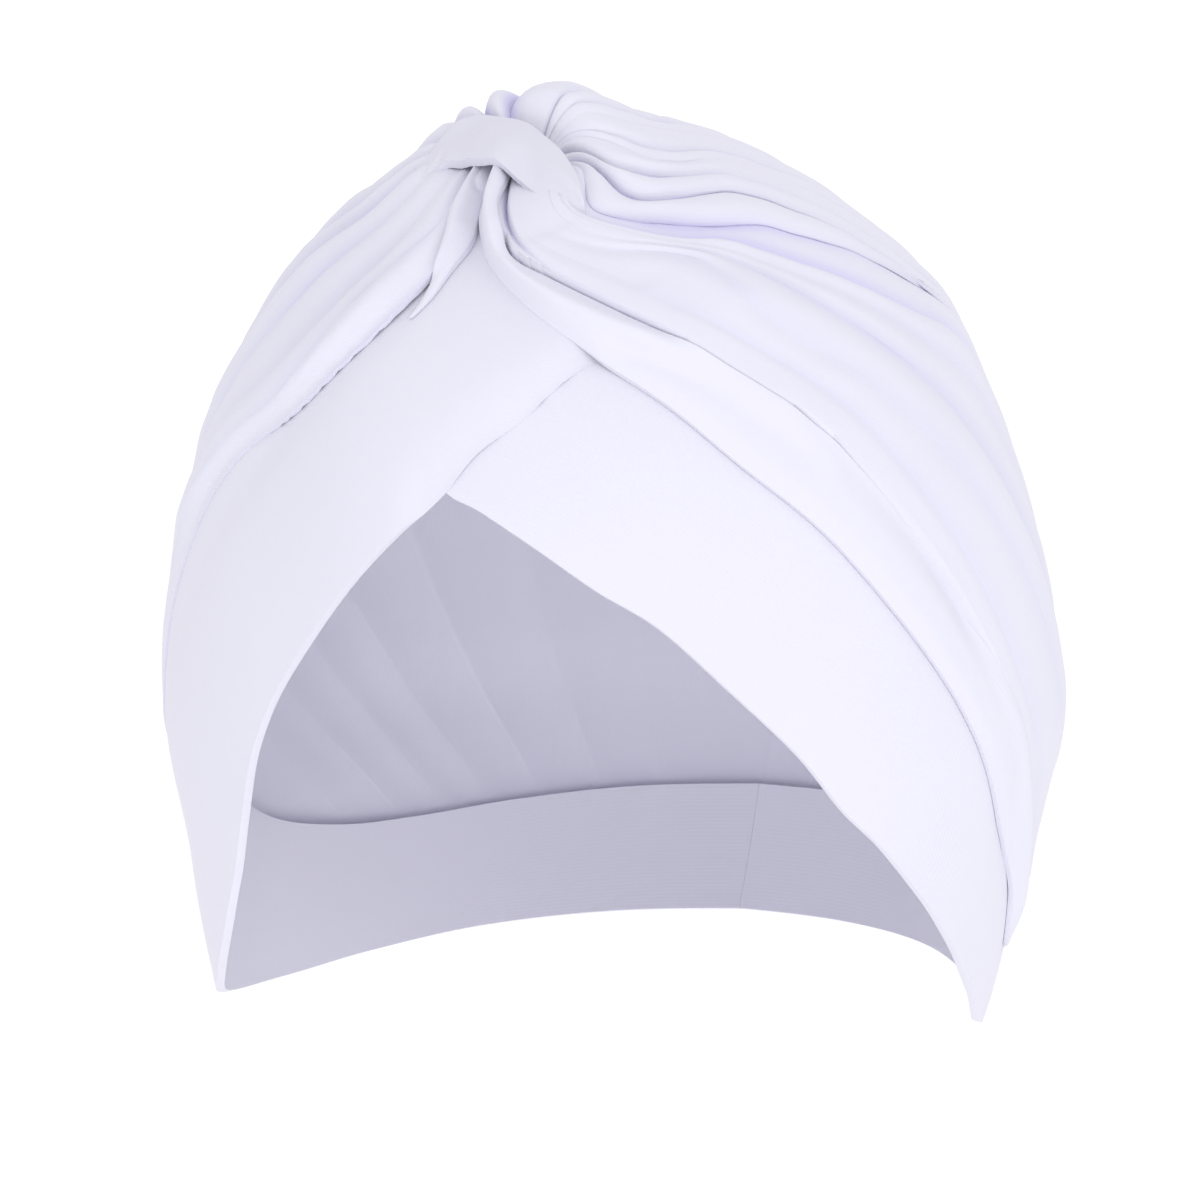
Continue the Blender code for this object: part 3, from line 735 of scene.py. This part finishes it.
def foldInner(position, share, laid):
    deep, acrossSpan, starts, ends = frontFold["meltLow"]
    melted = deep * easeOff(acrossSpan, share) * easeStep(*starts, position) * easeOff(ends, position)
    deep, acrossSpan, starts = frontFold["meltHigh"]
    melted += deep * easeStep(*acrossSpan, share) * easeStep(*starts, position)
    deep, starts = frontFold["meltTail"]
    melted += deep * easeStep(*starts, position)
    return foldAndTuckRest(frontFold, position, share, laid) - melted


def foldOuter(position, share, inside):
    stations, rolls, flushes = zip(*frontFold["roll"])
    roll = atStation(stations, rolls, position)
    flush = atStation(stations, flushes, position)
    part, acrossSpan = frontFold["thinHigh"]
    wall = frontFold["wall"] * (1 - part * flush * easeStep(*acrossSpan, share))
    part, starts, acrossSpan = frontFold["thinLow"]
    wall *= 1 - part * easeStep(*starts, position) * easeOff(acrossSpan, share)
    part, starts, ends, acrossSpan = frontFold["thinFront"]
    wall *= 1 - part * easeStep(*starts, position) * easeOff(ends, position) * easeOff(acrossSpan, share)
    part, starts = frontFold["thinTail"]
    wall *= 1 - part * easeStep(*starts, position)
    rounded = math.sin(math.pi * share) ** 0.7
    return inside + wall + roll * rounded + softWaves(position, share, *frontFold["ripple"])


def tuckInner(position, share, laid):
    return foldAndTuckRest(tuckFold, position, share, laid)


def tuckOuter(position, share, inside):
    flat = easeStep(*tuckFold["flattens"], position)
    high, lower = tuckFold["roll"]
    rounded = math.sin(math.pi * share) ** 0.7
    return inside + tuckFold["wall"] * (1 - tuckFold["flatWall"] * flat) + (high - lower * flat) * rounded


# The knot wrap. Each row is a place along it: the plan and height of its front edge, crest and back edge,
# how far its front edge runs on into the cloth, how proud its middle stands, and its edges' least lifts.
knotWrap = {
    "wall": 1.7, "along": 100, "across": 36, "standOff": 0.35, "sinks": 0.7, "leftEnds": (0.0, 1.8),
    "rightEnd": 0.8, "smoothOver": 3, "smoothGround": 4,
    "rows": (
        (-31, 96.0, -33, 97.5, -37, 99.0, 1, 0, 0, 0),
        (-26.5, 97.6, -29, 99.4, -34, 101.4, 1, .1, 4.5, 6.0),
        (-22.5, 98.6, -26, 100.6, -31, 102.8, .1, .3, 6.8, 7.5),
        (-18.4, 98.7, -22, 101.2, -28, 103.8, 0, .5, 7.4, 8.2),
        (-12.5, 98.3, -15, 101.2, -20, 104.4, 0, .7, 7.6, 8.8),
        (-5.4, 97.6, -7, 101.0, -11, 104.4, .06, .8, 7.5, 8.9),
        (0.8, 96.4, 0.0, 100.3, -3.5, 103.8, .35, .7, 7.3, 8.6),
        (6.5, 94.7, 5.3, 98.6, 3.0, 102.4, .85, .6, 7.0, 8.2),
        (11.2, 93.8, 10.2, 97.0, 9.0, 100.6, 1, .5, 6.6, 7.6),
        (14.6, 92.8, 14.0, 95.2, 13.0, 98.2, 1, .4, 6.0, 6.8),
        (16.8, 92.4, 16.5, 93.6, 16.0, 95.2, 1, 0, 5.4, 5.8)),
}


def buildKnotWrap(beneath):
    shares = edgeShares(knotWrap["across"])
    last = len(knotWrap["rows"]) - 1
    positions = [last * along / knotWrap["along"] for along in range(knotWrap["along"] + 1)]
    sections = [smoothRow(knotWrap["rows"], position) for position in positions]
    units = []
    for section in sections:
        stops = [direction(*section[0:2]), direction(*section[2:4]), direction(*section[4:6])]
        before = 2 * stops[0] - stops[1]
        after = 2 * stops[2] - stops[1]
        bend = [throughPoints(before, *stops, 2 * share) if share < 0.5
                else throughPoints(*stops, after, 2 * share - 1) for share in shares]
        units.append([unit.normalized() for unit in bend])
    least = [[section[8] + (section[9] - section[8]) * share for share in shares] for section in sections]
    beneathLifts = [[beneath(unit) for unit in row] for row in units]
    laid = tautOver([[max(lift, low) for lift, low in zip(row, lows)]
                     for row, lows in zip(beneathLifts, least)], knotWrap["smoothOver"])
    ground = tautOver(beneathLifts, knotWrap["smoothGround"])
    outer, inner = [], []
    for position, section, row, lifts, grounds in zip(positions, sections, units, laid, ground):
        leftEnd = easeOff(knotWrap["leftEnds"], position)
        pastEnd = max((position - last) / knotWrap["rightEnd"] + 1, 0.0)
        rightEnd = max(math.sqrt(max(1 - pastEnd ** 2, 0.0)), 0.1)
        outerRow, innerRow = [], []
        for share, unit, lift, low in zip(shares, row, lifts, grounds):
            crest = section[7] * math.sin(math.pi * share) ** 0.7
            wall = (knotWrap["wall"] + crest) * rightEnd
            outside = lift + knotWrap["standOff"] + wall
            # where the cloth runs on into the crown, its edge dips just below the crown's surface
            runOn = min(max(section[6] * easeOff((0.0, 0.6), share), leftEnd), 1.0)
            outside += (low - knotWrap["sinks"] - outside) * runOn
            thickness = wall * (1 - 0.8 * runOn) + 0.2
            innerRow.append(onHead(unit, outside - thickness))
            outerRow.append(onHead(unit, outside))
        outer.append(outerRow)
        inner.append(innerRow)
    return thickCloth("knot_wrap_cloth", outer, inner, None, 0.7)


# the cloth: its two tones, the darker bluer painted shade for deep creases, and its knit in metres
jersey = {
    "colour": (0.668, 0.659, 0.758, 1.0),
    "paler": (0.697, 0.688, 0.780, 1.0),
    "creaseShadeColour": (0.56, 0.54, 0.84, 1.0),
    "wale": 0.0008, "course": 0.0007, "knitDepth": 0.00006, "knitStrength": 0.35,
    "slant": 1.2, "courseShare": 0.6, "fuzzShare": 0.5, "roughnessSpread": 0.08,
    "sheen": 0.15, "sheenRoughness": 0.45, "specular": 0.25,
    # scale and detail
    "clouds": (22.0, 3.0), "fuzz": (900.0, 2.0),
}


def jerseyMaterial(name, roughness, creaseShadeShare, paintedShade):
    material = bpy.data.materials.new(name)
    material.use_nodes = True
    nodes, links = material.node_tree.nodes, material.node_tree.links
    shader = nodes["Principled BSDF"]
    shader.inputs["Sheen Weight"].default_value = jersey["sheen"]
    shader.inputs["Sheen Roughness"].default_value = jersey["sheenRoughness"]
    shader.inputs["Specular IOR Level"].default_value = jersey["specular"]

    def feed(socket, value):
        if isinstance(value, bpy.types.NodeSocket):
            links.new(value, socket)
        elif value is not None:
            socket.default_value = value

    def calculate(operation, first, second=None, clamp=False):
        node = nodes.new("ShaderNodeMath")
        node.operation = operation
        node.use_clamp = clamp
        feed(node.inputs[0], first)
        feed(node.inputs[1], second)
        return node.outputs[0]

    def blend(factor, first, second):
        node = nodes.new("ShaderNodeMix")
        node.data_type = "RGBA"
        feed(node.inputs["Factor"], factor)
        feed(node.inputs["A"], first)
        feed(node.inputs["B"], second)
        return node.outputs["Result"]

    place = nodes.new("ShaderNodeTexCoord").outputs["Object"]

    def unevenness(scale, detail):
        node = nodes.new("ShaderNodeTexNoise")
        feed(node.inputs["Scale"], scale)
        feed(node.inputs["Detail"], detail)
        links.new(place, node.inputs["Vector"])
        return node.outputs["Fac"]

    # painted shade: each piece's colours are multiplied down by its own factor, darkest on the knot wrap
    def shaded(colour):
        return [paintedShade * part for part in colour[:3]] + [1.0]

    cloudy = unevenness(*jersey["clouds"])
    tone = blend(cloudy, shaded(jersey["colour"]), shaded(jersey["paler"]))
    # painted shade: deep creases are darkened and turned bluer in colour by their depth
    depth = nodes.new("ShaderNodeAttribute")
    depth.attribute_name = "foldShadeDepth"
    deep = calculate("MULTIPLY", calculate("POWER", depth.outputs["Fac"], 2.0), creaseShadeShare, True)
    links.new(blend(deep, tone, jersey["creaseShadeColour"]), shader.inputs["Base Color"])

    # knit: columns of small slanted stitches
    grain = nodes.new("ShaderNodeUVMap")
    grain.uv_map = "clothGrain"
    parts = nodes.new("ShaderNodeSeparateXYZ")
    links.new(grain.outputs["UV"], parts.inputs["Vector"])

    def fromMiddle(value):
        # 0 in the middle of each stitch and 0.5 at its edges
        return calculate("ABSOLUTE", calculate("SUBTRACT", calculate("FRACT", value), 0.5))

    wale = fromMiddle(calculate("DIVIDE", parts.outputs["X"], jersey["wale"]))
    along = calculate("DIVIDE", parts.outputs["Y"], jersey["course"])
    course = fromMiddle(calculate("ADD", along, calculate("MULTIPLY", wale, jersey["slant"])))
    courseHeight = calculate("MULTIPLY", course, jersey["courseShare"])
    knit = calculate("ADD", calculate("MULTIPLY", wale, -1.0), courseHeight)
    fuzz = calculate("MULTIPLY", unevenness(*jersey["fuzz"]), jersey["fuzzShare"])
    surface = calculate("ADD", knit, fuzz)
    bump = nodes.new("ShaderNodeBump")
    bump.inputs["Strength"].default_value = jersey["knitStrength"]
    bump.inputs["Distance"].default_value = jersey["knitDepth"]
    links.new(surface, bump.inputs["Height"])
    links.new(bump.outputs["Normal"], shader.inputs["Normal"])
    spread = jersey["roughnessSpread"]
    uneven = calculate("MULTIPLY", cloudy, spread)
    rough = calculate("ADD", uneven, roughness - spread / 2)
    links.new(rough, shader.inputs["Roughness"])
    material.diffuse_color = jersey["colour"]
    return material


overPiece = strip("over_band_cloth", overBand, overInner, overOuter)
underPiece = strip("under_band_cloth", underBand, underInner, underOuter)
print("bands made")
crownPiece = buildCrown(liftMeasure([overPiece, underPiece]))
print("crown made")
foldPiece = strip("front_fold_cloth", frontFold, foldInner, foldOuter,
                  liftMeasure([overPiece, underPiece, crownPiece]), 0.5)
tuckPiece = strip("tuck_fold_cloth", tuckFold, tuckInner, tuckOuter,
                  liftMeasure([overPiece, crownPiece]), 0.5)
wrapPiece = buildKnotWrap(liftMeasure([crownPiece, foldPiece, tuckPiece]))
print("folds and knot made")

# piece, node it stands for, flat width and length and area in metres, how it is held, what it rests on,
# roughness, how much painted shade darkens and blues its creases, and how far painted shade darkens its whole
# cloth
# the last column darkens a piece's colour as painted shade: the knot wrap most, then the tuck and the over
# band
hat = (
    (crownPiece, "crown", (0.34, 0.242), 0.068, "gathered", ("over_band", "under_band"),
     0.87, 0.5, 1.0),
    (overPiece, "over_band", (0.044, 0.344), None, "stretched", ("under_band",),
     0.85, 0.0, 0.985),
    (underPiece, "under_band", (0.037, 0.317), None, "stretched", (),
     0.86, 0.0, 1.0),
    (foldPiece, "front_fold", (0.012, 0.251), None, "folded", ("over_band", "under_band", "crown"),
     0.84, 0.0, 1.0),
    (tuckPiece, "tuck_fold", (0.010, 0.044), 0.00024, "folded", ("over_band", "crown"),
     0.83, 0.0, 0.975),
    (wrapPiece, "knot_wrap", (0.0126, 0.046), None, "gathered", ("crown", "front_fold", "tuck_fold"),
     0.82, 0.0, 0.945),
)
for piece, node, flat, area, held, restsOn, roughness, creaseShadeShare, paintedShade in hat:
    piece.data.materials.append(jerseyMaterial(node + "_jersey", roughness, creaseShadeShare, paintedShade))
    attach(piece, "root")
    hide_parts(node)
print("pieces placed")

# the floor, the light and the camera; pixels are those of the photograph's 1200 by 1200 frame
studio = {"floorDrop": 0.50, "floorSize": 6.0, "azimuth": 20.0, "elevation": 6.0, "distance": 1.8,
          "pixel": 0.194 * mm, "frame": 1200, "centre": (606.0, 600.0), "aimPixel": (600, 700),
          "aim": (0, 0, -0.1116), "lampAim": (0, 0, -0.09), "sensor": 36, "farthest": 60,
          "sky": 1.06, "floorColour": (0.98, 0.98, 0.98, 1), "floorRoughness": 0.9}

bm = bmesh.new()
bmesh.ops.create_grid(bm, x_segments=1, y_segments=1, size=studio["floorSize"])
bmesh.ops.translate(bm, verts=bm.verts, vec=(0, 0, cadBox[0][2] - studio["floorDrop"]))
floorMesh = bpy.data.meshes.new("floor")
bm.to_mesh(floorMesh)
bm.free()
floor = bpy.data.objects.new("floor", floorMesh)
bpy.context.scene.collection.objects.link(floor)
floorMaterial = bpy.data.materials.new("pale_floor")
floorMaterial.use_nodes = True
floorShader = floorMaterial.node_tree.nodes["Principled BSDF"]
floorShader.inputs["Base Color"].default_value = studio["floorColour"]
floorShader.inputs["Roughness"].default_value = studio["floorRoughness"]
floorMesh.materials.append(floorMaterial)

world = bpy.data.worlds.new("white studio")
bpy.context.scene.world = world
world.use_nodes = True
world.node_tree.nodes["Background"].inputs["Color"].default_value = (1, 1, 1, 1)
world.node_tree.nodes["Background"].inputs["Strength"].default_value = studio["sky"]
bpy.context.scene.view_settings.view_transform = "Standard"

lamps = (
    # name, place, width, power in watts
    ("window right", (1.9, -1.2, 0.6), 1.2, 6.5),
    ("low fill", (0.35, -1.3, -0.50), 0.4, 3.3),
)
for name, place, width, power in lamps:
    lamp = bpy.data.lights.new(name, "AREA")
    lamp.size = width
    lamp.energy = power
    lampObject = bpy.data.objects.new(name, lamp)
    bpy.context.scene.collection.objects.link(lampObject)
    lampObject.location = place
    lampObject.rotation_mode = "QUATERNION"
    towards = Vector(studio["lampAim"]) - Vector(place)
    lampObject.rotation_quaternion = towards.to_track_quat("-Z", "Y")

turn = math.radians(studio["azimuth"])
rise = math.radians(studio["elevation"])
back = Vector((math.sin(turn) * math.cos(rise), -math.cos(turn) * math.cos(rise), math.sin(rise)))
right = Vector((math.cos(turn), math.sin(turn), 0))
up = back.cross(right)
aim = Vector(studio["aim"])
aim += right * (studio["aimPixel"][0] - studio["centre"][0]) * studio["pixel"]
aim += up * (studio["aimPixel"][1] - studio["centre"][1]) * studio["pixel"]
cameraData = bpy.data.cameras.new("camera")
cameraData.sensor_width = studio["sensor"]
cameraData.lens = studio["sensor"] * studio["distance"] / (studio["frame"] * studio["pixel"])
cameraData.clip_end = studio["farthest"]
camera = bpy.data.objects.new("camera", cameraData)
bpy.context.scene.collection.objects.link(camera)
camera.location = aim + back * studio["distance"]
camera.rotation_mode = "QUATERNION"
camera.rotation_quaternion = back.to_track_quat("Z", "Y")
bpy.context.scene.camera = camera
print("studio ready")
